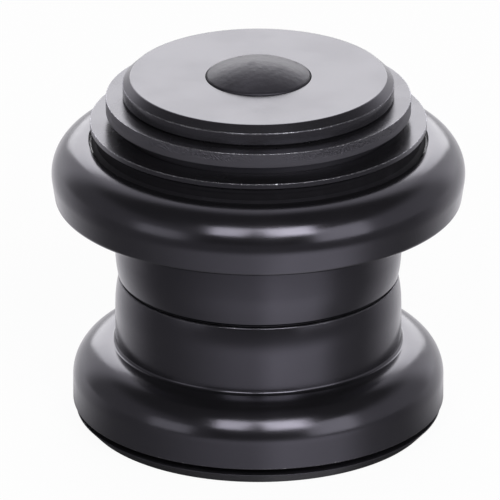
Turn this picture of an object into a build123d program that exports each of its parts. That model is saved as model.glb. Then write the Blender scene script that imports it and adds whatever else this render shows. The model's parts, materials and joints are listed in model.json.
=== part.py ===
from build123d import *
import os
from math import cos, radians, sin, tan

# Threadless bicycle headset, stacked as it stands on a bench without a head tube.
# Millimetres. Z is the steering axis, and the origin is on it, in the plane that meets the fork crown.

# The fork's steerer, and the steps out to its crown seat, 30.0 mm, and to the head tube's bore, 34.0 mm
steerer_diameter = 28.6
crown_seat_step = 0.7
skirt_clearance = 1.05
skirt_wall = 1.65

# Heights of the stack, from the fork crown up
crown_seal_thickness = 1.43
mouth_gap = 0.84
lower_cup_height = 7.5
lower_skirt_length = 8.24
upper_skirt_length = 9.7
upper_cup_height = 7.6
cone_back = 2.17
cover_thickness = 0.82
neck_height = 1.28
spacer_thickness = 1.73
cap_thickness = 2.53
plug_rise = 1.85

# Bearings
ball_diameter = 3.97
ball_count = 20
ball_circle_step = 3.2
ball_play = 0.05
contact_angle = 45.0
race_wall = 0.465
race_floor = 0.9
race_toe = 0.5
race_rim = 0.4
cone_reach = 75.0
cone_shoulder = 0.7

# Cups
cup_floor = 2.0
lower_mouth_relief = 0.75
lower_cup_wall = 1.3
lower_seat_flat = 0.05
upper_lip_flat = 0.15
shoulder_radius = 4.3
upper_wall_lean = 8.5
lead_length = 3.4
lead_drop = 0.34
skirt_end_round = 0.3
seat_fillet = 0.4
rim_round = 0.15
lip_round = 0.1
mouth_step = 0.4

# Retainers
retainer_thickness = 0.8
rail_width = 0.365
claw_setback = 0.685
pocket_play = 0.1

# Compression ring, cone, cover and spacer
ring_clearance = 0.05
cone_clearance = 0.8
ring_nose = 1.5
taper_height = 1.2
ring_collar_height = 0.3
ring_slit = 1.6
cover_clearance = 0.12
cover_bore_clearance = 0.15
cover_chamfer = 0.24
edge_break = 0.08
spacer_clearance = 0.1
spacer_width = 3.6

# Seals
seal_fit = 0.05
crown_lip_clearance = 0.7
crown_seal_flange = 1.75
crown_seal_flare = 1.35
seal_wiper_gap = 0.28
seal_lip_thickness = 0.45
seal_lip_gap = 0.85
seal_body_width = 1.0
seal_flange_width = 1.2
seal_flange_thickness = 0.5
seal_foot = 0.25

# Top cap and its plug
cap_overhang = 2.1
cap_chamfer_width = 0.87
cap_chamfer_height = 0.82
cap_edge_round = 0.12
cap_under_chamfer = 0.35
cap_lip_clearance = 0.5
cap_lip_width = 1.0
cap_lip_depth = 1.2
cap_web = 2.2
cap_hub_wall = 2.2
cap_hub_draft = 0.6
cap_hub_floor = 1.8
plug_ledge = 0.85
plug_clearance = 0.1
plug_seat_depth = 1.6
plug_edge = 0.12

# Cap bolt
bolt_diameter = 6.0
bolt_length = 25.0
bolt_head_diameter = 10.0
bolt_head_height = 6.0
bolt_socket = 5.0
bolt_socket_depth = 3.0
bolt_tip_chamfer = 0.7
bolt_head_chamfer = 0.4
bolt_head_gap = 0.6
bolt_hole_clearance = 0.25
head_bore_clearance = 0.4

# Star nut
nut_thread_clearance = 0.05
nut_sleeve_wall = 1.6
nut_barrel_step = 0.9
nut_flange_height = 0.8
nut_star_spacing = 7.2
nut_tip_clearance = 1.0
star_inset = 1.8
star_thickness = 0.8
star_hub_width = 2.2
star_leaf_angle = 35.0
star_leaf_count = 8
star_notch_root = 1.2
star_notch_mouth = 4.0
star_bore_clearance = 0.03

# Radii worked outward from the steerer, and from the bolt for what holds the bolt
steerer_radius = steerer_diameter / 2
crown_bore_radius = steerer_radius + crown_seat_step
skirt_bore_radius = steerer_radius + skirt_clearance
skirt_radius = skirt_bore_radius + skirt_wall
pitch_radius = steerer_radius + ball_circle_step
ball_radius = ball_diameter / 2
race_radius = ball_radius + ball_play
cavity_radius = pitch_radius + race_radius + race_wall
lower_mouth_radius = cavity_radius + lower_mouth_relief
lower_cup_radius = lower_mouth_radius + lower_cup_wall
lower_shoulder_radius = lower_cup_radius - skirt_radius - seat_fillet - lower_seat_flat
upper_cup_radius = cavity_radius + upper_lip_flat + shoulder_radius
cone_radius = pitch_radius + cone_shoulder
cone_bore_radius = steerer_radius + cone_clearance
taper_top_radius = cone_bore_radius + taper_height
collar_radius = taper_top_radius - ring_clearance + ring_collar_height
cover_radius = cavity_radius - cover_clearance
spacer_bore_radius = steerer_radius + spacer_clearance
spacer_radius = spacer_bore_radius + spacer_width
cap_lip_radius = spacer_bore_radius - cap_lip_clearance
cap_radius = cap_lip_radius + cap_overhang
bolt_radius = bolt_diameter / 2
head_radius = bolt_head_diameter / 2
head_bore_radius = head_radius + head_bore_clearance
plug_hole_radius = head_bore_radius + plug_ledge
plug_radius = plug_hole_radius - plug_clearance

# Levels worked out from the heights above
lower_rim_z = crown_seal_thickness + mouth_gap
lower_seat_z = lower_rim_z + lower_cup_height
skirt_meeting_z = lower_seat_z + lower_skirt_length
upper_seat_z = skirt_meeting_z + upper_skirt_length
upper_lip_z = upper_seat_z + upper_cup_height
lower_ceiling_z = lower_seat_z - cup_floor
upper_floor_z = upper_seat_z + cup_floor
lower_ball_z = lower_ceiling_z - race_floor - race_radius
lower_mouth_z = lower_ball_z - race_rim - mouth_step
upper_ball_z = upper_floor_z + race_floor + race_radius
cover_bottom_z = upper_ball_z + race_radius + cone_back
cover_top_z = cover_bottom_z + cover_thickness
spacer_bottom_z = cover_top_z + neck_height
spacer_top_z = spacer_bottom_z + spacer_thickness
cap_top_z = spacer_top_z + cap_thickness
plug_seat_z = cap_top_z - plug_seat_depth
head_seat_z = plug_seat_z - bolt_head_gap - bolt_head_height
bolt_tip_z = head_seat_z - bolt_length
nut_bottom_z = bolt_tip_z + nut_tip_clearance
lower_star_z = nut_bottom_z + nut_flange_height
upper_star_z = lower_star_z + star_thickness + nut_star_spacing
nut_top_z = upper_star_z + star_thickness + nut_flange_height

os.makedirs("parts", exist_ok=True)


def corners(sketch, *places):
    """The sketch's corners nearest to the given places, for rounding or bevelling."""
    return [sketch.vertices().sort_by_distance((r, z, 0))[0] for r, z in places]


def finish(name, piece):
    """Names a finished piece and writes it to its own file."""
    piece.part.label = name
    export_step(piece.part, f"parts/{name}.step")


# Crown race: a male race with its track facing up and out, bored for the fork's crown seat
with BuildPart() as crown_race:
    with BuildSketch(Plane.XZ) as section:
        with BuildLine():
            track = CenterArc((pitch_radius, lower_ball_z), race_radius, -90, -cone_reach)
            Polyline(
                track @ 1,
                (crown_bore_radius, (track @ 1).Y),
                (crown_bore_radius, 0),
                (cone_radius, 0),
                (cone_radius, (track @ 0).Y),
                track @ 0,
            )
        make_face()
        chamfer(corners(section, (crown_bore_radius, 0)), length=edge_break)
    revolve(axis=Axis.Z)
finish("crown_race", crown_race)

# Crown race seal: a rubber ring round the race, flared out under the cup's rim, with a lip up inside its mouth
seal_inner_radius = cone_radius + seal_fit
lip_outer_radius = lower_mouth_radius - crown_lip_clearance
lip_inner_radius = lip_outer_radius - seal_lip_thickness
crown_seal_radius = lip_outer_radius + crown_seal_flange
crown_seal_foot = crown_seal_radius - crown_seal_flare
lip_top_z = lower_mouth_z - seal_lip_gap
with BuildPart() as crown_race_seal:
    with BuildSketch(Plane.XZ) as section:
        with BuildLine():
            Polyline(
                (seal_inner_radius, 0),
                (crown_seal_foot, 0),
                (crown_seal_radius, crown_seal_thickness),
                (lip_outer_radius, crown_seal_thickness),
                (lip_outer_radius, lip_top_z),
                (lip_inner_radius, lip_top_z),
                (lip_inner_radius, crown_seal_thickness),
                (seal_inner_radius, crown_seal_thickness),
                close=True,
            )
        make_face()
        fillet(corners(section, (crown_seal_foot, 0)), radius=rim_round)
        fillet(corners(section, (crown_seal_radius, crown_seal_thickness)), radius=edge_break)
    revolve(axis=Axis.Z)
finish("crown_race_seal", crown_race_seal)

# Lower cup: a shell that opens down over the bearing, with a skirt for the head tube
lead_radius = skirt_radius - lead_drop
with BuildPart() as lower_cup:
    with BuildSketch(Plane.XZ) as section:
        with BuildLine():
            lead = TangentArc(
                (skirt_radius, skirt_meeting_z - lead_length),
                (lead_radius, skirt_meeting_z),
                tangent=(0, 1),
            )
            Polyline(
                lead @ 1,
                (skirt_bore_radius, skirt_meeting_z),
                (skirt_bore_radius, lower_ceiling_z),
                (cavity_radius, lower_ceiling_z),
                (cavity_radius, lower_mouth_z),
                (lower_mouth_radius, lower_mouth_z),
                (lower_mouth_radius, lower_rim_z),
                (lower_cup_radius, lower_rim_z),
                (lower_cup_radius, lower_seat_z),
                (skirt_radius, lower_seat_z),
                lead @ 0,
            )
        make_face()
        fillet(corners(section, (lower_cup_radius, lower_seat_z)), radius=lower_shoulder_radius)
        fillet(corners(section, (skirt_radius, lower_seat_z)), radius=seat_fillet)
        fillet(corners(section, (lead_radius, skirt_meeting_z)), radius=skirt_end_round)
        fillet(corners(section, (lower_cup_radius, lower_rim_z)), radius=rim_round)
    revolve(axis=Axis.Z)
finish("lower_cup", lower_cup)

# Upper cup: a bowl that opens up round the bearing, with a rounded lip and a skirt for the head tube
shoulder_center = (upper_cup_radius - shoulder_radius, upper_lip_z - shoulder_radius)
with BuildPart() as upper_cup:
    with BuildSketch(Plane.XZ) as section:
        with BuildLine():
            lead = TangentArc(
                (skirt_radius, skirt_meeting_z + lead_length),
                (lead_radius, skirt_meeting_z),
                tangent=(0, -1),
            )
            shoulder = CenterArc(shoulder_center, shoulder_radius, -upper_wall_lean, 90 + upper_wall_lean)
            wall = PolarLine(
                shoulder @ 0,
                (shoulder @ 0).Y - upper_seat_z,
                angle=-90 - upper_wall_lean,
                length_mode=LengthMode.VERTICAL,
            )
            Polyline(wall @ 1, (skirt_radius, upper_seat_z), lead @ 0)
            Polyline(
                lead @ 1,
                (skirt_bore_radius, skirt_meeting_z),
                (skirt_bore_radius, upper_floor_z),
                (cavity_radius, upper_floor_z),
                (cavity_radius, upper_lip_z),
                shoulder @ 1,
            )
        make_face()
        fillet(corners(section, (skirt_radius, upper_seat_z)), radius=seat_fillet)
        fillet(corners(section, (lead_radius, skirt_meeting_z)), radius=skirt_end_round)
        fillet(corners(section, ((wall @ 1).X, upper_seat_z)), radius=rim_round)
        fillet(corners(section, (cavity_radius, upper_lip_z)), radius=lip_round)
    revolve(axis=Axis.Z)
finish("upper_cup", upper_cup)

# Cup races: hardened rings pressed into the cups, the same ring in both, with the track facing the balls
toe_radius = pitch_radius - race_toe
for name, ball_z, side in (("lower_cup_race", lower_ball_z, 1), ("upper_cup_race", upper_ball_z, -1)):
    with BuildPart() as cup_race:
        with BuildSketch(Plane.XZ) as section:
            with BuildLine():
                track = CenterArc((pitch_radius, ball_z), race_radius, 0, side * 90)
                Polyline(
                    track @ 1,
                    (toe_radius, (track @ 1).Y),
                    (toe_radius, (track @ 1).Y + side * race_floor),
                    (cavity_radius, (track @ 1).Y + side * race_floor),
                    (cavity_radius, ball_z - side * race_rim),
                    ((track @ 0).X, ball_z - side * race_rim),
                    track @ 0,
                )
            make_face()
        revolve(axis=Axis.Z)
    finish(name, cup_race)

# Balls, and the retainers that space them: a conical rail with claws that reach round each ball
for bearing, ball_z, side in (("lower", lower_ball_z, -1), ("upper", upper_ball_z, 1)):
    with BuildPart() as balls:
        with Locations((0, 0, ball_z)):
            with PolarLocations(pitch_radius, ball_count):
                Sphere(ball_radius)
    finish(f"{bearing}_balls", balls)

    out_r = cos(radians(contact_angle))
    out_z = side * sin(radians(contact_angle))

    def strip_corner(along, across):
        """A corner of the retainer's strip, which crosses the ball's centre square to its contact line."""
        return (pitch_radius + along * out_r - across * out_z, ball_z + along * out_z + across * out_r)

    half = retainer_thickness / 2
    pocket_radius = ball_radius + pocket_play
    rail_reach = pocket_radius + rail_width
    claw_reach = ball_radius - claw_setback
    with BuildPart() as retainer:
        with BuildSketch(Plane.XZ):
            with BuildLine():
                Polyline(
                    strip_corner(-rail_reach, half),
                    strip_corner(-rail_reach, -half),
                    strip_corner(claw_reach, -half),
                    strip_corner(claw_reach, half),
                    close=True,
                )
            make_face()
        revolve(axis=Axis.Z)
        with Locations((0, 0, ball_z)):
            with PolarLocations(pitch_radius, ball_count):
                Sphere(pocket_radius, mode=Mode.SUBTRACT)
    finish(f"{bearing}_retainer", retainer)

# Upper cone: a male race with its track facing down and out, coned at the top for the compression ring
with BuildPart() as upper_cone:
    with BuildSketch(Plane.XZ):
        with BuildLine():
            track = CenterArc((pitch_radius, upper_ball_z), race_radius, 90, cone_reach)
            Polyline(
                track @ 1,
                (cone_bore_radius, (track @ 1).Y),
                (cone_bore_radius, cover_bottom_z - taper_height),
                (taper_top_radius, cover_bottom_z),
                (cone_radius, cover_bottom_z),
                (cone_radius, (track @ 0).Y),
                track @ 0,
            )
        make_face()
    revolve(axis=Axis.Z)
finish("upper_cone", upper_cone)

# Cover seal: a rubber ring on the cone, with a flange under the cover and a wiper lip in the cup's mouth
seal_bottom_z = upper_ball_z + race_radius + seal_foot
seal_body_radius = seal_inner_radius + seal_body_width
seal_flange_radius = seal_inner_radius + seal_flange_width
wiper_radius = cavity_radius - seal_wiper_gap
with BuildPart() as cover_seal:
    with BuildSketch(Plane.XZ):
        with BuildLine():
            Polyline(
                (seal_inner_radius, seal_bottom_z),
                (wiper_radius, seal_bottom_z),
                (seal_body_radius, seal_bottom_z + seal_lip_thickness),
                (seal_body_radius, cover_bottom_z - seal_flange_thickness),
                (seal_flange_radius, cover_bottom_z - seal_flange_thickness),
                (seal_flange_radius, cover_bottom_z),
                (seal_inner_radius, cover_bottom_z),
                close=True,
            )
        make_face()
    revolve(axis=Axis.Z)
finish("cover_seal", cover_seal)

# Bearing cover: a thin ring on the cone, just small enough for the cup's mouth
with BuildPart() as bearing_cover:
    with BuildSketch(Plane.XZ) as section:
        with BuildLine():
            Polyline(
                (collar_radius + cover_bore_clearance, cover_bottom_z),
                (cover_radius, cover_bottom_z),
                (cover_radius, cover_top_z),
                (collar_radius + cover_bore_clearance, cover_top_z),
                close=True,
            )
        make_face()
        chamfer(corners(section, (cover_radius, cover_bottom_z)), length=cover_chamfer)
        fillet(corners(section, (cover_radius, cover_top_z)), radius=edge_break)
    revolve(axis=Axis.Z)
finish("bearing_cover", bearing_cover)

# Compression ring: split and tapered, so that the stack above wedges it between the cone and the steerer
ring_bore_radius = steerer_radius + ring_clearance
nose_radius = cone_bore_radius - ring_clearance
with BuildPart() as compression_ring:
    with BuildSketch(Plane.XZ):
        with BuildLine():
            Polyline(
                (ring_bore_radius, cover_bottom_z - taper_height - ring_nose),
                (nose_radius, cover_bottom_z - taper_height - ring_nose),
                (nose_radius, cover_bottom_z - taper_height),
                (collar_radius, cover_bottom_z + ring_collar_height),
                (collar_radius, spacer_bottom_z),
                (ring_bore_radius, spacer_bottom_z),
                close=True,
            )
        make_face()
    revolve(axis=Axis.Z)
    with BuildSketch(Plane.XY):
        with Locations((0, collar_radius)):
            Rectangle(ring_slit, collar_radius)
    extrude(amount=spacer_top_z, mode=Mode.SUBTRACT)
finish("compression_ring", compression_ring)

# Spacer: a flat ring on top of the compression ring
with BuildPart() as spacer:
    with BuildSketch(Plane.XY.offset(spacer_bottom_z)):
        Circle(spacer_radius)
        Circle(spacer_bore_radius, mode=Mode.SUBTRACT)
    extrude(amount=spacer_thickness)
    top_rim = spacer.edges().group_by(Axis.Z)[-1].sort_by(SortBy.RADIUS)[-1]
    fillet(top_rim, radius=edge_break)
finish("spacer", spacer)

# Top cap: a chamfered disc with a locating lip under it and a hub that holds the bolt's head
hub_radius = head_bore_radius + cap_hub_wall
hub_bottom_z = head_seat_z - cap_hub_floor
bolt_hole_radius = bolt_radius + bolt_hole_clearance
with BuildPart() as top_cap:
    with BuildSketch(Plane.XZ) as section:
        with BuildLine():
            Polyline(
                (plug_hole_radius, cap_top_z),
                (cap_radius - cap_chamfer_width, cap_top_z),
                (cap_radius, cap_top_z - cap_chamfer_height),
                (cap_radius, spacer_top_z + cap_under_chamfer),
                (cap_radius - cap_under_chamfer, spacer_top_z),
                (cap_lip_radius, spacer_top_z),
                (cap_lip_radius, spacer_top_z - cap_lip_depth),
                (cap_lip_radius - cap_lip_width, spacer_top_z - cap_lip_depth),
                (cap_lip_radius - cap_lip_width, cap_top_z - cap_web),
                (hub_radius, cap_top_z - cap_web),
                (hub_radius - cap_hub_draft, hub_bottom_z),
                (bolt_hole_radius, hub_bottom_z),
                (bolt_hole_radius, head_seat_z),
                (head_bore_radius, head_seat_z),
                (head_bore_radius, plug_seat_z),
                (plug_hole_radius, plug_seat_z),
                close=True,
            )
        make_face()
        fillet(corners(section, (cap_radius, cap_top_z - cap_chamfer_height)), radius=cap_edge_round)
        fillet(corners(section, (plug_hole_radius, cap_top_z)), radius=edge_break)
    revolve(axis=Axis.Z)
finish("top_cap", top_cap)

# Cap plug: a domed disc that drops into the cap over the bolt's head
dome_base_z = cap_top_z + plug_edge
dome_top_z = cap_top_z + plug_rise
dome_radius = (plug_radius**2 + (dome_top_z - dome_base_z) ** 2) / (2 * (dome_top_z - dome_base_z))
with BuildPart() as cap_plug:
    with BuildSketch(Plane.XZ) as section:
        with BuildLine():
            dome = RadiusArc((plug_radius, dome_base_z), (0, dome_top_z), -dome_radius)
            Polyline(dome @ 1, (0, plug_seat_z), (plug_radius, plug_seat_z), dome @ 0)
        make_face()
        fillet(corners(section, (plug_radius, dome_base_z)), radius=edge_break)
    revolve(axis=Axis.Z)
finish("cap_plug", cap_plug)

# Cap bolt: a socket head bolt through the cap into the star nut
with BuildPart() as cap_bolt:
    with BuildSketch(Plane.XZ) as section:
        with BuildLine():
            Polyline(
                (0, bolt_tip_z),
                (bolt_radius, bolt_tip_z),
                (bolt_radius, head_seat_z),
                (head_radius, head_seat_z),
                (head_radius, head_seat_z + bolt_head_height),
                (0, head_seat_z + bolt_head_height),
                close=True,
            )
        make_face()
        chamfer(corners(section, (bolt_radius, bolt_tip_z)), length=bolt_tip_chamfer)
        chamfer(corners(section, (head_radius, head_seat_z + bolt_head_height)), length=bolt_head_chamfer)
    revolve(axis=Axis.Z)
    with BuildSketch(Plane.XY.offset(head_seat_z + bolt_head_height)):
        RegularPolygon(bolt_socket / 2, 6, major_radius=False)
    extrude(amount=-bolt_socket_depth, mode=Mode.SUBTRACT)
finish("cap_bolt", cap_bolt)

# Star nut sleeve: a threaded barrel with a seat for a star at each end and a staked flange that holds it
sleeve_bore_radius = bolt_radius + nut_thread_clearance
star_seat_radius = sleeve_bore_radius + nut_sleeve_wall
barrel_radius = star_seat_radius + nut_barrel_step
with BuildPart() as star_nut_sleeve:
    with BuildSketch(Plane.XZ):
        with BuildLine():
            Polyline(
                (sleeve_bore_radius, nut_bottom_z),
                (barrel_radius, nut_bottom_z),
                (barrel_radius, lower_star_z),
                (star_seat_radius, lower_star_z),
                (star_seat_radius, lower_star_z + star_thickness),
                (barrel_radius, lower_star_z + star_thickness),
                (barrel_radius, upper_star_z),
                (star_seat_radius, upper_star_z),
                (star_seat_radius, upper_star_z + star_thickness),
                (barrel_radius, upper_star_z + star_thickness),
                (barrel_radius, nut_top_z),
                (sleeve_bore_radius, nut_top_z),
                close=True,
            )
        make_face()
    revolve(axis=Axis.Z)
finish("star_nut_sleeve", star_nut_sleeve)

# Stars: sprung washers whose leaves stand up and out, so that they bite when the nut is drawn upward
star_radius = steerer_radius - star_inset
star_bore_radius = star_seat_radius + star_bore_clearance
leaf_root_radius = star_bore_radius + star_hub_width
leaf_rise = (star_radius - leaf_root_radius) * tan(radians(star_leaf_angle))
leaf_skin = star_thickness / cos(radians(star_leaf_angle))
for name, star_z in (("star_nut_lower_star", lower_star_z), ("star_nut_upper_star", upper_star_z)):
    with BuildPart() as star:
        with BuildSketch(Plane.XZ):
            with BuildLine():
                Polyline(
                    (star_bore_radius, star_z),
                    (leaf_root_radius, star_z),
                    (star_radius, star_z + leaf_rise),
                    (star_radius, star_z + leaf_rise + leaf_skin),
                    (leaf_root_radius, star_z + star_thickness),
                    (star_bore_radius, star_z + star_thickness),
                    close=True,
                )
            make_face()
        revolve(axis=Axis.Z)
        with BuildSketch(Plane.XY.offset(star_z)):
            with PolarLocations(0, star_leaf_count):
                Polygon(
                    (leaf_root_radius, -star_notch_root / 2),
                    (star_radius, -star_notch_mouth / 2),
                    (2 * star_radius, -star_notch_mouth / 2),
                    (2 * star_radius, star_notch_mouth / 2),
                    (star_radius, star_notch_mouth / 2),
                    (leaf_root_radius, star_notch_root / 2),
                    align=None,
                )
        extrude(amount=leaf_rise + leaf_skin, mode=Mode.SUBTRACT)
    finish(name, star)
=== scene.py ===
"""Looks of a threadless bicycle headset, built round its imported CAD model.

Everything is in metres, in the model's own frame: Z is the steering axis and the stack stands on z = 0.
"""
import json
from math import asin, atan2, ceil, cos, pi, radians, sin, tan

import bpy
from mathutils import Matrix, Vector


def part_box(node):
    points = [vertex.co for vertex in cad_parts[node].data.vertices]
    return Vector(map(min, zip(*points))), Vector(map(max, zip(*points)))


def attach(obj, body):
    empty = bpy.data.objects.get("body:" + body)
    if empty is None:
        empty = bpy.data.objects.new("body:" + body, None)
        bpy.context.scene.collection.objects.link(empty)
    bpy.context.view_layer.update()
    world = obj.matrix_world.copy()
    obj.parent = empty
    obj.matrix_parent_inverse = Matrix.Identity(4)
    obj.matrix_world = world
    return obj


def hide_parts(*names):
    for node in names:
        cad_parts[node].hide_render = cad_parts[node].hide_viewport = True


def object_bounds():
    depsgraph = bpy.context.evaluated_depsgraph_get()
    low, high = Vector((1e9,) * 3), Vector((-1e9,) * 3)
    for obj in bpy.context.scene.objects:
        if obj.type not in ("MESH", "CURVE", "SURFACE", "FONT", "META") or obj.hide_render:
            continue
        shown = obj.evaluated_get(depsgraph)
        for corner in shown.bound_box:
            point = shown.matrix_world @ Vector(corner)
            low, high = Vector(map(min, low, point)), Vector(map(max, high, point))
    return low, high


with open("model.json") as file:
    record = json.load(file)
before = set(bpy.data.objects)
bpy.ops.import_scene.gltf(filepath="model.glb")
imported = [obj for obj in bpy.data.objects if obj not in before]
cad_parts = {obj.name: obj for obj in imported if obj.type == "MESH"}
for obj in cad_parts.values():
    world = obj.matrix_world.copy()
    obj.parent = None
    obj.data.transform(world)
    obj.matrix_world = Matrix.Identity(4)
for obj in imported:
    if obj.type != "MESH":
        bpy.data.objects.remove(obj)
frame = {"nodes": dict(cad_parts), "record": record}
cad_low, cad_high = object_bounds()
mm = 0.001

# Camera, as the photograph was taken, with its tilt in degrees below level
image_pixels = 500
focal_pixels = 10998.4
sensor_width_mm = 36.0
camera_place = (-0.99 * mm, -1200 * mm, 529.78 * mm)
camera_tilt = 22.977

# Edges of the turned pieces, of which the outer ones rounded between hair_round and worn_round wear
hair_round = 0.03 * mm
edge_break = 0.08 * mm
rim_round = 0.15 * mm
worn_round = 0.25 * mm
edge_fade = 0.04 * mm

# How finely the turned pieces are cut
ring_segments = 192
arc_step = radians(5.0)

# Cups: their skirts with the curved lead-ins, then the lower and the upper cup
skirt_radius = 17.0 * mm
skirt_bore_radius = 15.35 * mm
cup_floor = 2.0 * mm
seat_fillet = 0.4 * mm
lead_length = 4.2 * mm
lead_drop = 0.42 * mm
lead_round = 18.0 * mm
lower_cup_height = 7.5 * mm
lower_end_round = 0.2 * mm
lower_seat_flat = 0.05 * mm
mouth_wall = 1.3 * mm
mouth_step = 0.4 * mm
upper_cup_height = 7.6 * mm
upper_end_round = 0.6 * mm
upper_rim_round = 0.7 * mm
upper_shoulder = 4.3 * mm
upper_wall_lean = 8.5
lip_round = 0.1 * mm

# Crown race seal
crown_seal_clearance = 0.05 * mm
crown_seal_flange = 1.75 * mm
crown_seal_flare = 1.35 * mm
crown_lip_clearance = 0.7 * mm
seal_thickness = 1.43 * mm
seal_lip_thickness = 0.45 * mm

# Bearing cover and spacer
cover_bore_radius = 16.7 * mm
cover_chamfer = 0.24 * mm
spacer_bore_radius = 14.4 * mm

# Top cap and its plug
cap_chamfer_width = 0.87 * mm
cap_chamfer_height = 0.82 * mm
cap_edge_round = 0.18 * mm
cap_top_round = 0.3 * mm
cap_under_chamfer = 0.35 * mm
cap_overhang = 2.1 * mm
cap_lip_width = 1.0 * mm
cap_lip_depth = 1.2 * mm
cap_web = 2.2 * mm
cap_hub_wall = 2.2 * mm
cap_hub_draft = 0.6 * mm
cap_hub_floor = 1.8 * mm
head_bore_clearance = 0.4 * mm
bolt_hole_radius = 3.25 * mm
plug_clearance = 0.1 * mm
plug_edge = 0.12 * mm
plug_edge_round = 0.2 * mm
dome_share = 0.97


def radius(node_name):
    """Outside radius of a CAD node."""
    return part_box(node_name)[1].x


def bottom(node_name):
    """Height of a CAD node's lowest point."""
    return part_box(node_name)[0].z


def top(node_name):
    """Height of a CAD node's highest point."""
    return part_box(node_name)[1].z


def heading(a, b):
    """Direction from one corner of an outline to the next."""
    return Vector((b[0] - a[0], b[1] - a[1])).normalized()


def outline(corners):
    """Points along a section, from its corners (radius, height, rounding), with the inside on the left.

    Each point is (radius, height, outward normal, edge), where edge is 1 on a small outer rounding, and 0
    elsewhere.
    """
    points = []
    for i, (r, z, rounding) in enumerate(corners):
        before = heading(corners[i - 1], corners[i])
        after = heading(corners[i], corners[(i + 1) % len(corners)])
        turn = atan2(before.cross(after), before.dot(after))
        side = 1 if turn > 0 else -1
        edge = float(turn > 0 and hair_round < rounding < worn_round)
        out = Vector((before.y, -before.x))
        middle = Vector((r, z)) - before * rounding * abs(tan(turn / 2)) - out * side * rounding
        steps = max(2, ceil(abs(turn) / arc_step))
        arc = []
        for k in range(steps + 1):
            angle = atan2(out.y, out.x) + turn * k / steps
            normal = Vector((cos(angle), sin(angle)))
            arc.append((middle + normal * side * rounding, normal, edge))
        if edge:
            first, last = arc[0], arc[-1]
            arc.insert(0, (first[0] - before * edge_fade, first[1], 0.0))
            arc.append((last[0] + after * edge_fade, last[1], 0.0))
        points += [(*place, normal, mark) for place, normal, mark in arc]
    return points


def add_mesh(name, vertices, faces, material, body):
    """A smooth mesh object with one material, riding on a body."""
    mesh = bpy.data.meshes.new(name)
    mesh.from_pydata(vertices, [], faces)
    mesh.materials.append(material)
    mesh.shade_smooth()
    piece = bpy.data.objects.new(name, mesh)
    bpy.context.scene.collection.objects.link(piece)
    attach(piece, body)
    return piece


def lathe(name, points, material, body):
    """Turns outline points about the axis into a closed mesh, with exact normals and its small edges marked.

    A point on the axis stays a single vertex.
    """
    vertices, normals, edges, rings = [], [], [], []
    for r, z, normal, edge in points:
        count = 1 if r < hair_round / 2 else ring_segments
        rings.append(range(len(vertices), len(vertices) + count))
        for k in range(count):
            angle = 2 * pi * k / ring_segments
            vertices.append((r * cos(angle), r * sin(angle), z))
            normals.append((normal.x * cos(angle), normal.x * sin(angle), normal.y))
            edges.append(edge)
    faces = []
    for ring, following in zip(rings, rings[1:] + rings[:1]):
        if len(ring) == len(following) == 1:
            continue
        for k in range(ring_segments):
            a, b = ring[k % len(ring)], ring[(k + 1) % len(ring)]
            c, d = following[(k + 1) % len(following)], following[k % len(following)]
            faces.append(tuple(dict.fromkeys((a, b, c, d))))
    piece = add_mesh(name, vertices, faces, material, body)
    piece.data.normals_split_custom_set_from_vertices(normals)
    piece.data.attributes.new("edge", "FLOAT", "POINT").data.foreach_set("value", edges)
    return piece


# Helpers for shader nodes


def node(tree, kind, inputs, **settings):
    """Adds a shader node, with its inputs set to values or linked to sockets."""
    made = tree.nodes.new(kind)
    for key, value in settings.items():
        setattr(made, key, value)
    for key, value in inputs.items():
        if isinstance(value, bpy.types.NodeSocket):
            tree.links.new(value, made.inputs[key])
        else:
            made.inputs[key].default_value = value
    return made


def math_node(tree, operation, a, b=0.0):
    """Result of a Math node on two values or sockets."""
    return node(tree, "ShaderNodeMath", {0: a, 1: b}, operation=operation).outputs[0]


def plus(tree, a, b):
    """Sum of two values or sockets."""
    return math_node(tree, "ADD", a, b)


def minus(tree, a, b):
    """Difference of two values or sockets."""
    return math_node(tree, "SUBTRACT", a, b)


def times(tree, a, b):
    """Product of two values or sockets."""
    return math_node(tree, "MULTIPLY", a, b)


def ramp(tree, value, low, high, to_low=0.0, to_high=1.0):
    """A smooth step from to_low to to_high as value goes from low to high."""
    inputs = {"Value": value, "From Min": low, "From Max": high, "To Min": to_low, "To Max": to_high}
    return node(tree, "ShaderNodeMapRange", inputs, interpolation_type="SMOOTHSTEP").outputs[0]


def noise(tree, place, grain, detail=2.0):
    """Noise from 0 to 1 with features about one grain across."""
    inputs = {"Vector": place, "Scale": 1 / grain, "Detail": detail}
    return node(tree, "ShaderNodeTexNoise", inputs).outputs["Fac"]


def split(tree, vector):
    """The x, y and z of a vector socket."""
    return node(tree, "ShaderNodeSeparateXYZ", {"Vector": vector}).outputs


def tone(colour, brightness=1.0):
    """A colour made so many times brighter, and opaque."""
    return (*[brightness * c for c in colour], 1.0)


def mix_colours(tree, share, first, second):
    """Colour that goes from the first to the second as share goes from 0 to 1."""
    inputs = {"Factor": share, "A": first, "B": second}
    return node(tree, "ShaderNodeMix", inputs, data_type="RGBA").outputs["Result"]


def mix_shaders(tree, share, first, second):
    """Shader that goes from the first to the second as share goes from 0 to 1."""
    inputs = {0: share, 1: first.outputs[0], 2: second.outputs[0]}
    return node(tree, "ShaderNodeMixShader", inputs)


def start_material(name):
    """A new node material: itself, its tree, its main shader and the object coordinates."""
    material = bpy.data.materials.new(name)
    material.use_nodes = True
    tree = material.node_tree
    shader = tree.nodes["Principled BSDF"]
    place = tree.nodes.new("ShaderNodeTexCoord").outputs["Object"]
    return material, tree, shader, place


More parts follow.
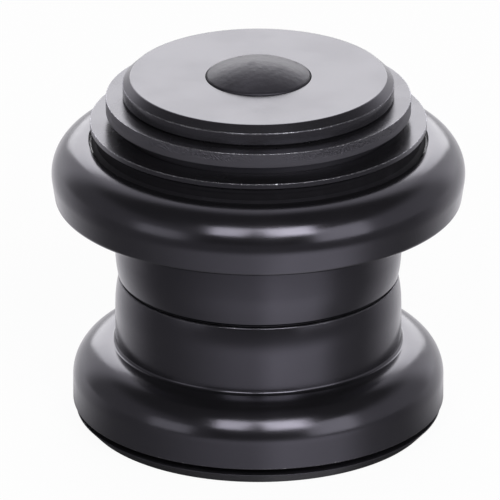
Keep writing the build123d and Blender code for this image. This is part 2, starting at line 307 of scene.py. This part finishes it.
def set_surface(tree, shader, shade, gloss, height, depth):
    """Links a shader's colour and roughness, and bumps it by a height field in units of depth metres."""
    bump = node(tree, "ShaderNodeBump", {"Strength": 1.0, "Distance": depth, "Height": height})
    tree.links.new(shade, shader.inputs["Base Color"])
    tree.links.new(gloss, shader.inputs["Roughness"])
    tree.links.new(bump.outputs[0], shader.inputs["Normal"])


# Levels of a noise between which gloss changes, and its middle
noise_low = 0.3
noise_high = 0.7
noise_middle = 0.5

# Black coats: uneven gloss, a little violet as dyed anodising is, and chips of bare alloy at worn edges
gloss_level = 0.8
gloss_tint = (0.87, 0.84, 1.0, 1.0)
gloss_patch = 6 * mm
gloss_swing = 0.03
chip_width = 0.09 * mm
chip_start = 0.7
chip_full = 0.75
bare_alloy = (0.55, 0.55, 0.57)

# Rim of a punched ring, where normals are near level: dull and pale, and torn above a smooth cut band
rim_start = 0.6
rim_full = 0.2
rim_roughness = 0.2
rim_paleness = 4.0
cut_share = 0.25
torn_share = 0.6
tear_width = 0.2 * mm
tear_detail = 4.0
tear_stretch = 0.6
tear_slant = 0.7
tear_height = 600.0
tear_patch = 8 * mm
tear_patch_start = 0.25
tear_patch_full = 0.6
fleck_start = 0.4
fleck_full = 0.62


def torn_rim(tree, place, ring, colour, shade, gloss, height):
    """Shade, gloss and height of a coat, changed on the rim of a CAD ring that was cut by a punch.

    The tears lie in stretches of the rim's upper part, with flecks as dark as the coat. They follow a track
    that is unrolled from the rim and slanted, and their height is in depths of the coat's grain.
    """
    x, y, z = split(tree, place)
    around = times(tree, math_node(tree, "ARCTAN2", y, x), radius(ring))
    slanted = plus(tree, around, times(tree, z, tear_slant))
    track = node(tree, "ShaderNodeCombineXYZ", {0: slanted, 1: times(tree, z, tear_stretch)}).outputs[0]
    tears = noise(tree, track, tear_width, tear_detail)
    normal = node(tree, "ShaderNodeNewGeometry", {}).outputs["Normal"]
    rim = ramp(tree, math_node(tree, "ABSOLUTE", split(tree, normal)[2]), rim_start, rim_full)
    foot = bottom(ring)
    tall = top(ring) - foot
    torn = ramp(tree, z, foot + cut_share * tall, foot + torn_share * tall)
    stretches = ramp(tree, noise(tree, place, tear_patch), tear_patch_start, tear_patch_full)
    rough = times(tree, rim, times(tree, torn, stretches))
    flecks = times(tree, rough, ramp(tree, tears, fleck_start, fleck_full))
    swing = times(tree, minus(tree, tears, noise_middle), tear_height)
    shade = mix_colours(tree, minus(tree, rim, flecks), shade, tone(colour, rim_paleness))
    gloss = plus(tree, gloss, times(tree, rim, rim_roughness))
    height = plus(tree, height, times(tree, rough, swing))
    return shade, gloss, height


def coated(name, colour, roughness, grain, depth, wear=0.0, sheared=None):
    """Black coat or anodising on alloy: fine grain, uneven gloss, and bare metal at worn edges.

    sheared names a CAD ring whose rim was cut by a punch, which leaves its upper part torn.
    """
    material, tree, shader, place = start_material(name)
    edge = node(tree, "ShaderNodeAttribute", {}, attribute_name="edge").outputs["Fac"]
    chips = ramp(tree, noise(tree, place, chip_width), chip_start - wear, chip_full - wear)
    bare = times(tree, edge, chips)
    shade = mix_colours(tree, bare, tone(colour), tone(bare_alloy))
    patches = noise(tree, place, gloss_patch)
    gloss = ramp(tree, patches, noise_low, noise_high, roughness - gloss_swing, roughness + gloss_swing)
    height = noise(tree, place, grain)
    if sheared:
        shade, gloss, height = torn_rim(tree, place, sheared, colour, shade, gloss, height)
    shader.inputs["Specular IOR Level"].default_value = gloss_level
    shader.inputs["Specular Tint"].default_value = gloss_tint
    tree.links.new(bare, shader.inputs["Metallic"])
    set_surface(tree, shader, shade, gloss, height, depth)
    return material


# Rubber: moulded grain, the unevenness that handling leaves, in depths of the grain, and paler, duller scuffs
rubber_level = 0.5
rubber_grain = 0.15 * mm
rubber_grain_depth = 0.004 * mm
mottle_width = 0.8 * mm
mottle_detail = 3.0
mottle_height = 12.0
scuff_width = 2.5 * mm
scuff_detail = 5.0
scuff_start = 0.5
scuff_full = 0.75
scuff_paleness = 1.8
scuff_roughness = 0.12


def rubber(name, colour, roughness, level=rubber_level):
    """Matt black rubber with a fine moulded grain and paler scuffs."""
    material, tree, shader, place = start_material(name)
    scuffs = ramp(tree, noise(tree, place, scuff_width, scuff_detail), scuff_start, scuff_full)
    shade = mix_colours(tree, scuffs, tone(colour), tone(colour, scuff_paleness))
    gloss = ramp(tree, scuffs, 0.0, 1.0, roughness, roughness + scuff_roughness)
    mottle = times(tree, noise(tree, place, mottle_width, mottle_detail), mottle_height)
    height = plus(tree, noise(tree, place, rubber_grain), mottle)
    shader.inputs["Specular IOR Level"].default_value = level
    shader.inputs["Specular Tint"].default_value = gloss_tint
    set_surface(tree, shader, shade, gloss, height, rubber_grain_depth)
    return material


# Metals: clouds of darker, more polished surface, with hazier surface between them
cloud_width = 3 * mm
cloud_brightness = 0.8
cloud_polish = 0.04
cloud_haze = 0.06


def metal(name, colour, roughness, grain, depth):
    """Bare or plated metal with fine grain and uneven gloss."""
    material, tree, shader, place = start_material(name)
    cloud = noise(tree, place, cloud_width)
    shade = mix_colours(tree, cloud, tone(colour, cloud_brightness), tone(colour))
    gloss = ramp(tree, cloud, noise_low, noise_high, roughness - cloud_polish, roughness + cloud_haze)
    shader.inputs["Metallic"].default_value = 1.0
    set_surface(tree, shader, shade, gloss, noise(tree, place, grain), depth)
    return material


# Finishes, one for each material slot of the record, and a darker, duller rubber for the seal under the
# cover, painted shade for the gap it sits in
finishes = {
    "cup_finish": coated(
        "cup_coat", (0.0060, 0.0058, 0.0066),
        roughness=0.2, grain=0.16 * mm, depth=0.005 * mm, wear=0.06,
    ),
    "cap_finish": coated(
        "cap_anodising", (0.0125, 0.0121, 0.0136),
        roughness=0.23, grain=0.1 * mm, depth=0.0002 * mm, wear=0.13,
    ),
    "spacer_finish": coated(
        "spacer_anodising", (0.0085, 0.0082, 0.0093),
        roughness=0.27, grain=0.1 * mm, depth=0.0005 * mm, wear=0.15, sheared="spacer",
    ),
    "cover_finish": coated(
        "cover_anodising", (0.0080, 0.0077, 0.0088),
        roughness=0.25, grain=0.1 * mm, depth=0.0002 * mm, wear=0.13,
    ),
    "ring_alloy": coated(
        "ring_anodising", (0.0080, 0.0077, 0.0088), roughness=0.45, grain=0.15 * mm, depth=0.003 * mm
    ),
    "race_steel": metal(
        "ground_steel", (0.55, 0.55, 0.56), roughness=0.22, grain=0.2 * mm, depth=0.001 * mm
    ),
    "ball_steel": metal(
        "polished_steel", (0.75, 0.75, 0.76), roughness=0.08, grain=0.5 * mm, depth=0.0004 * mm
    ),
    "retainer_steel": metal(
        "pressed_steel", (0.5, 0.5, 0.5), roughness=0.3, grain=0.25 * mm, depth=0.002 * mm
    ),
    "bolt_steel": metal(
        "black_oxide", (0.06, 0.06, 0.062), roughness=0.35, grain=0.15 * mm, depth=0.002 * mm
    ),
    "nut_steel": metal(
        "zinc_plate", (0.58, 0.58, 0.56), roughness=0.3, grain=0.3 * mm, depth=0.003 * mm
    ),
    "seal_rubber": rubber("seal_rubber", (0.009, 0.0086, 0.0102), roughness=0.4),
    "plug_rubber": rubber("plug_rubber", (0.016, 0.0152, 0.0182), roughness=0.42),
}
# The seal under the cover is darker and less glossy than the other rubber: painted shade for the dark gap
# between the cover and the cup's lip
painted_shade_rubber = rubber("painted_shade_rubber", (0.006, 0.0057, 0.0067), roughness=0.65, level=0.15)
own_finish = {"cover_seal": painted_shade_rubber}
for subpart in frame["record"]["subparts"]:
    carried = frame["nodes"][subpart["node"]]
    carried.data.materials.clear()
    carried.data.materials.append(own_finish.get(subpart["node"], finishes[subpart["material_slot"]]))


def turned(name, node_name, corners, slot, body):
    """Adds a turned piece that stands for a CAD node."""
    piece = lathe(name, outline(corners), finishes[slot], body)
    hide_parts(node_name)


# Lower cup
skirt_meeting = bottom("upper_cup")
lead_radius = skirt_radius - lead_drop
lower_rim = bottom("lower_cup")
lower_seat = lower_rim + lower_cup_height
lower_radius = radius("lower_cup")
lower_shoulder = lower_radius - skirt_radius - seat_fillet - lower_seat_flat
lower_mouth_radius = lower_radius - mouth_wall
lower_mouth = bottom("lower_cup_race") - mouth_step
cavity_radius = radius("lower_cup_race")
turned("lower_cup_shell", "lower_cup", [
    (lower_mouth_radius, lower_rim, hair_round),
    (lower_radius, lower_rim, rim_round),
    (lower_radius, lower_seat, lower_shoulder),
    (skirt_radius, lower_seat, seat_fillet),
    (skirt_radius, skirt_meeting - lead_length / 2, lead_round),
    (lead_radius, skirt_meeting, lower_end_round),
    (skirt_bore_radius, skirt_meeting, hair_round),
    (skirt_bore_radius, lower_seat - cup_floor, hair_round),
    (cavity_radius, lower_seat - cup_floor, hair_round),
    (cavity_radius, lower_mouth, hair_round),
    (lower_mouth_radius, lower_mouth, hair_round),
], "cup_finish", "cups")

# Upper cup, whose leaning wall and level lip meet in a shoulder that is as wide as the CAD node
upper_lip = top("upper_cup")
upper_seat = upper_lip - upper_cup_height
shoulder_corner = radius("upper_cup") + upper_shoulder * (tan(radians(45 + upper_wall_lean / 2)) - 1)
wall_foot = shoulder_corner - upper_cup_height * tan(radians(upper_wall_lean))
turned("upper_cup_shell", "upper_cup", [
    (skirt_bore_radius, skirt_meeting, hair_round),
    (lead_radius, skirt_meeting, upper_end_round),
    (skirt_radius, skirt_meeting + lead_length / 2, lead_round),
    (skirt_radius, upper_seat, seat_fillet),
    (wall_foot, upper_seat, upper_rim_round),
    (shoulder_corner, upper_lip, upper_shoulder),
    (cavity_radius, upper_lip, lip_round),
    (cavity_radius, upper_seat + cup_floor, hair_round),
    (skirt_bore_radius, upper_seat + cup_floor, hair_round),
], "cup_finish", "cups")

# Crown race seal, with its lip inside the lower cup's mouth
seal_inner = radius("crown_race") + crown_seal_clearance
lip_outer = lower_mouth_radius - crown_lip_clearance
seal_radius = lip_outer + crown_seal_flange
lip_top = top("crown_race_seal")
turned("crown_seal_ring", "crown_race_seal", [
    (seal_inner, 0.0, hair_round),
    (seal_radius - crown_seal_flare, 0.0, rim_round),
    (seal_radius, seal_thickness, edge_break),
    (lip_outer, seal_thickness, hair_round),
    (lip_outer, lip_top, hair_round),
    (lip_outer - seal_lip_thickness, lip_top, hair_round),
    (lip_outer - seal_lip_thickness, seal_thickness, hair_round),
    (seal_inner, seal_thickness, hair_round),
], "seal_rubber", "crown")

# Bearing cover
cover_radius = radius("bearing_cover")
cover_foot = bottom("bearing_cover")
cover_top = top("bearing_cover")
turned("bearing_cover_ring", "bearing_cover", [
    (cover_bore_radius, cover_foot, hair_round),
    (cover_radius - cover_chamfer, cover_foot, hair_round),
    (cover_radius, cover_foot + cover_chamfer, hair_round),
    (cover_radius, cover_top, edge_break),
    (cover_bore_radius, cover_top, hair_round),
], "cover_finish", "top_stack")

# Spacer
spacer_radius = radius("spacer")
spacer_foot = bottom("spacer")
spacer_top = top("spacer")
turned("spacer_ring", "spacer", [
    (spacer_bore_radius, spacer_foot, hair_round),
    (spacer_radius, spacer_foot, hair_round),
    (spacer_radius, spacer_top, edge_break),
    (spacer_bore_radius, spacer_top, hair_round),
], "spacer_finish", "top_stack")

# Top cap, which rests on the spacer, with a lip and a hub below
cap_radius = radius("top_cap")
cap_top = top("top_cap")
cap_foot = spacer_top
cap_lip_radius = cap_radius - cap_overhang
plug_radius = radius("cap_plug")
plug_hole = plug_radius + plug_clearance
plug_seat = bottom("cap_plug")
head_bore = radius("cap_bolt") + head_bore_clearance
hub_radius = head_bore + cap_hub_wall
hub_bottom = bottom("top_cap")
head_seat = hub_bottom + cap_hub_floor
turned("top_cap_disc", "top_cap", [
    (cap_lip_radius, cap_foot, hair_round),
    (cap_radius - cap_under_chamfer, cap_foot, hair_round),
    (cap_radius, cap_foot + cap_under_chamfer, hair_round),
    (cap_radius, cap_top - cap_chamfer_height, cap_edge_round),
    (cap_radius - cap_chamfer_width, cap_top, cap_top_round),
    (plug_hole, cap_top, hair_round),
    (plug_hole, plug_seat, hair_round),
    (head_bore, plug_seat, hair_round),
    (head_bore, head_seat, hair_round),
    (bolt_hole_radius, head_seat, hair_round),
    (bolt_hole_radius, hub_bottom, hair_round),
    (hub_radius - cap_hub_draft, hub_bottom, hair_round),
    (hub_radius, cap_top - cap_web, hair_round),
    (cap_lip_radius - cap_lip_width, cap_top - cap_web, hair_round),
    (cap_lip_radius - cap_lip_width, cap_foot - cap_lip_depth, hair_round),
    (cap_lip_radius, cap_foot - cap_lip_depth, hair_round),
], "cap_finish", "top_stack")

# Plug, whose domed top is an arc from near its edge to near the axis
plug_top = top("cap_plug")
dome_rise = plug_top - cap_top - plug_edge
dome_radius = (plug_radius**2 + dome_rise**2) / (2 * dome_rise)
dome_shoulder = dome_radius * tan(asin(plug_radius / dome_radius) / 2)
turned("cap_plug_dome", "cap_plug", [
    (0.0, plug_seat, 0.0),
    (plug_radius, plug_seat, hair_round),
    (plug_radius, cap_top + plug_edge, plug_edge_round),
    (dome_shoulder, plug_top, dome_share * dome_radius),
    (0.0, plug_top, 0.0),
], "plug_rubber", "top_stack")

# Colours of the studio in reflections and to the camera
studio_white = (0.975, 0.96, 1.0, 1.0)
white = (1.0, 1.0, 1.0, 1.0)

# Floor
floor_size = 4.0
floor_level = -0.01 * mm
floor_grey = (0.8, 0.8, 0.8, 1.0)
floor_glow = 0.95

# Pool of light on the floor in reflections, and a lobe of it, by angles in degrees from the camera's side
pool_middle = -12 * mm
pool_turn = 6.0
pool_core = 5.0
pool_end = 90.0
pool_glow = 0.7
lobe_turn = 33.0
lobe_core = 14.0
lobe_end = 40.0
lobe_glow = 0.66

# How the pool grows from dim to full and fades out again, by the distance from the axis
pool_dim = 0.75
pool_start = 30 * mm
pool_full = 56 * mm
pool_fade = 62 * mm
pool_gone = 100 * mm

# Dim sides of the floor, the bright sweep behind the object and the shade round its foot
side_glow = 0.22
sweep_start = 88.0
sweep_full = 142.0
sweep_glow = 1.05
shade_near = 20 * mm
shade_far = 27 * mm
shade_glow = 0.3


def patch(tree, turn, middle, core, end, strength):
    """A soft patch of light over a range of directions, in degrees."""
    off = math_node(tree, "ABSOLUTE", minus(tree, turn, radians(middle)))
    return ramp(tree, off, radians(end), radians(core), 0.0, strength)


def floor_light(tree):
    """How bright the floor is in reflections.

    A pool of light lies in front of the object, with a brighter lobe on its right. The sides are dim, a
    bright sweep lies behind, and the foot has shade round it. Directions are about a point just in front of
    the axis.
    """
    x, y, _ = split(tree, tree.nodes.new("ShaderNodeTexCoord").outputs["Object"])
    turn = math_node(tree, "ARCTAN2", x, minus(tree, pool_middle, y))
    reach = math_node(tree, "SQRT", plus(tree, times(tree, x, x), times(tree, y, y)))
    wide = patch(tree, turn, pool_turn, pool_core, pool_end, pool_glow)
    lobe = patch(tree, turn, lobe_turn, lobe_core, lobe_end, lobe_glow)
    pool = times(tree, plus(tree, wide, lobe), ramp(tree, reach, pool_gone, pool_fade))
    pool = times(tree, pool, ramp(tree, reach, pool_start, pool_full, pool_dim, 1.0))
    aside = math_node(tree, "ABSOLUTE", turn)
    sweep = ramp(tree, aside, radians(sweep_start), radians(sweep_full), side_glow, sweep_glow)
    shade = ramp(tree, reach, shade_near, shade_far, shade_glow, 1.0)
    return times(tree, plus(tree, sweep, pool), shade)


# Floor itself, nearly white to the camera, with the object's shadow on it
floor_half = floor_size / 2
floor_mesh = bpy.data.meshes.new("floor")
floor_mesh.from_pydata([
    (-floor_half, -floor_half, floor_level),
    (floor_half, -floor_half, floor_level),
    (floor_half, floor_half, floor_level),
    (-floor_half, floor_half, floor_level),
], [], [(0, 1, 2, 3)])
floor = bpy.data.objects.new("floor", floor_mesh)
bpy.context.scene.collection.objects.link(floor)
floor_material = bpy.data.materials.new("floor_white")
floor_material.use_nodes = True
floor_mesh.materials.append(floor_material)
floor_tree = floor_material.node_tree
floor_tree.nodes.clear()
path = floor_tree.nodes.new("ShaderNodeLightPath").outputs
matt = node(floor_tree, "ShaderNodeBsdfDiffuse", {"Color": floor_grey})
bright = node(floor_tree, "ShaderNodeEmission", {"Color": white, "Strength": 1.0})
seen = mix_shaders(floor_tree, times(floor_tree, path["Is Camera Ray"], floor_glow), matt, bright)
pattern = floor_light(floor_tree)
mirrored = node(floor_tree, "ShaderNodeEmission", {"Color": studio_white, "Strength": pattern})
bounced = math_node(floor_tree, "MAXIMUM", path["Is Glossy Ray"], path["Is Transmission Ray"])
floor_shader = mix_shaders(floor_tree, bounced, seen, mirrored)
node(floor_tree, "ShaderNodeOutputMaterial", {"Surface": floor_shader.outputs[0]})

# World: a bright wall behind the object, a dim room in front and low glows at its sides, by unit directions
room_glow = 0.07
wall_glow = 1.0
wall_start = 0.05
wall_full = 0.45
wall_narrowing = 0.55
left_glow = 0.24
right_glow = 0.45
side_start = 0.35
side_full = 0.75
side_top = 0.68
side_foot = 0.46


def room_light(tree):
    """How bright the room is, by the direction from the object: across to the right, back and up."""
    across, back, up = split(tree, tree.nodes.new("ShaderNodeTexCoord").outputs["Generated"])
    aside = times(tree, math_node(tree, "ABSOLUTE", across), wall_narrowing)
    wall = ramp(tree, minus(tree, back, aside), wall_start, wall_full, room_glow, wall_glow)
    left = ramp(tree, across, -side_start, -side_full, 0.0, left_glow)
    right = ramp(tree, across, side_start, side_full, 0.0, right_glow)
    low = ramp(tree, up, side_top, side_foot)
    return plus(tree, wall, times(tree, low, plus(tree, left, right)))


# World itself, plain white to the camera
world = bpy.data.worlds.new("studio")
world.use_nodes = True
bpy.context.scene.world = world
world_tree = world.node_tree
world_tree.nodes.clear()
room = node(world_tree, "ShaderNodeBackground", {"Color": studio_white, "Strength": room_light(world_tree)})
plain = node(world_tree, "ShaderNodeBackground", {"Color": white, "Strength": 1.0})
camera_ray = world_tree.nodes.new("ShaderNodeLightPath").outputs["Is Camera Ray"]
world_shader = mix_shaders(world_tree, camera_ray, room, plain)
node(world_tree, "ShaderNodeOutputWorld", {"Surface": world_shader.outputs[0]})

# Lamps
lamp_distance = 1.0


def softbox(name, azimuth, elevation, width, height, radiance):
    """Adds a rectangular lamp that faces the object. Azimuth 0 is the camera's side, 90 is to its right."""
    lamp = bpy.data.lights.new(name, "AREA")
    lamp.shape = "RECTANGLE"
    lamp.size = width
    lamp.size_y = height
    lamp.energy = radiance * pi * width * height
    level = lamp_distance * cos(radians(elevation))
    rise = lamp_distance * sin(radians(elevation))
    place = Vector((level * sin(radians(azimuth)), -level * cos(radians(azimuth)), rise))
    target = (cad_low + cad_high) / 2
    holder = bpy.data.objects.new(name, lamp)
    holder.location = place
    holder.rotation_euler = (target - place).to_track_quat("-Z", "Y").to_euler()
    bpy.context.scene.collection.objects.link(holder)


softbox("back_softbox", azimuth=180, elevation=24, width=0.88, height=0.5, radiance=2.45)
softbox("front_softbox_left", azimuth=-17.5, elevation=40, width=0.31, height=0.43, radiance=6.0)
softbox("front_softbox_right", azimuth=18.7, elevation=40, width=0.4, height=0.43, radiance=8.7)
softbox("side_softbox_left", azimuth=-55, elevation=11, width=0.47, height=0.4, radiance=1.0)
softbox("side_softbox_right", azimuth=46.5, elevation=19, width=0.563, height=0.65, radiance=1.7)

# Camera
lens = bpy.data.cameras.new("camera")
lens.sensor_width = sensor_width_mm
lens.lens = focal_pixels / image_pixels * sensor_width_mm
camera = bpy.data.objects.new("camera", lens)
camera.location = camera_place
camera.rotation_euler = (radians(90 - camera_tilt), 0, 0)
bpy.context.scene.collection.objects.link(camera)
bpy.context.scene.camera = camera
bpy.context.scene.view_settings.view_transform = "Standard"
